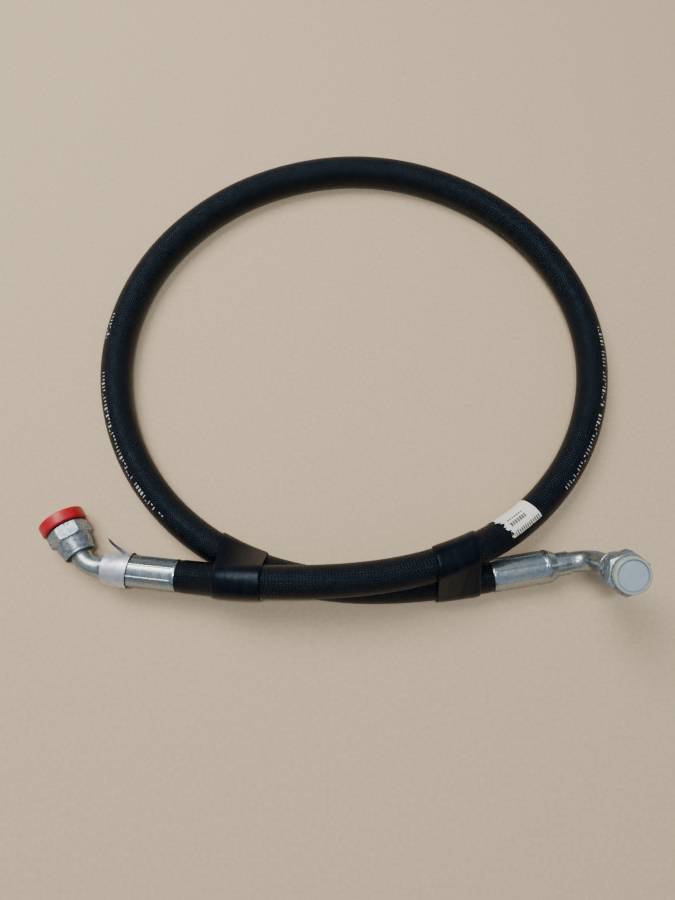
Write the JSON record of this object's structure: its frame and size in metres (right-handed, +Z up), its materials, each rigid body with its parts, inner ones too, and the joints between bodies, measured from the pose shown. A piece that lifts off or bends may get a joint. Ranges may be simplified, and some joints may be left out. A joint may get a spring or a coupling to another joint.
{
  "type": "hydraulic hose assembly",
  "caption": "Black four-spiral hydraulic hose lying in one loop, with a crimped ferrule, bent tube, swivel hex nut and plastic dust plug at each end, lashed with two tape bands.",
  "frame": {"origin": "on the table, under the middle of the assembly's bounding box", "axes": "+Z up from the table; +X along the longest side of the loop, from the left end fitting towards the right one; +Y towards the far side of the loop"},
  "size_m": [0.5607, 0.4882, 0.106],
  "materials": {
    "cover_rubber": "black rubber cover with the fine weave of its wrapping cloth left in it",
    "inner_tube_rubber": "smooth black oil-proof rubber",
    "brassed_wire": "brass-coated steel wire, one solid layer for each spiral",
    "zinc_plated_steel": "bright bluish zinc plating",
    "red_plastic": "soft red moulded plastic",
    "clear_plastic": "milky translucent moulded plastic",
    "black_tape": "smooth black PVC tape",
    "foil": "matt silver foil",
    "label_paper": "off-white printed paper, torn at one end"
  },
  "bodies": {
    "hose_and_fittings": {"hose_cover": "cover_rubber", "spiral_wire_layer_1": "brassed_wire", "spiral_wire_layer_2": "brassed_wire", "spiral_wire_layer_3": "brassed_wire", "spiral_wire_layer_4": "brassed_wire", "hose_inner_tube": "inner_tube_rubber", "left_ferrule": "zinc_plated_steel", "left_stem": "zinc_plated_steel", "left_elbow_tube": "zinc_plated_steel", "left_seal_sleeve": "zinc_plated_steel", "right_ferrule": "zinc_plated_steel", "right_stem": "zinc_plated_steel", "right_elbow_tube": "zinc_plated_steel", "right_seal_sleeve": "zinc_plated_steel", "foil_tag": "foil", "paper_label": "label_paper", "left_tape_band": "black_tape", "right_tape_band": "black_tape"},
    "left_nut": {"left_swivel_nut": "zinc_plated_steel"},
    "left_plug": {"left_dust_plug": "red_plastic"},
    "right_nut": {"right_swivel_nut": "zinc_plated_steel"},
    "right_plug": {"right_dust_plug": "clear_plastic"}
  },
  "joints": [
    {"name": "left_nut_spin", "type": "hinge", "parent": "hose_and_fittings", "child": "left_nut", "pos_m": [-0.2402, -0.19793, 0.02189], "axis": [-0.5547, 0.832, -0.0048], "continuous": true},
    {"name": "right_nut_spin", "type": "hinge", "parent": "hose_and_fittings", "child": "right_nut", "pos_m": [0.24635, -0.21434, 0.06483], "axis": [0.0342, -0.2652, 0.9636], "continuous": true},
    {"name": "left_plug_pull", "type": "slide", "parent": "left_nut", "child": "left_plug", "axis": [-0.5547, 0.832, -0.0048], "range_m": [0, 0.025]},
    {"name": "right_plug_pull", "type": "slide", "parent": "right_nut", "child": "right_plug", "axis": [0.0342, -0.2652, 0.9636], "range_m": [0, 0.025]}
  ]
}
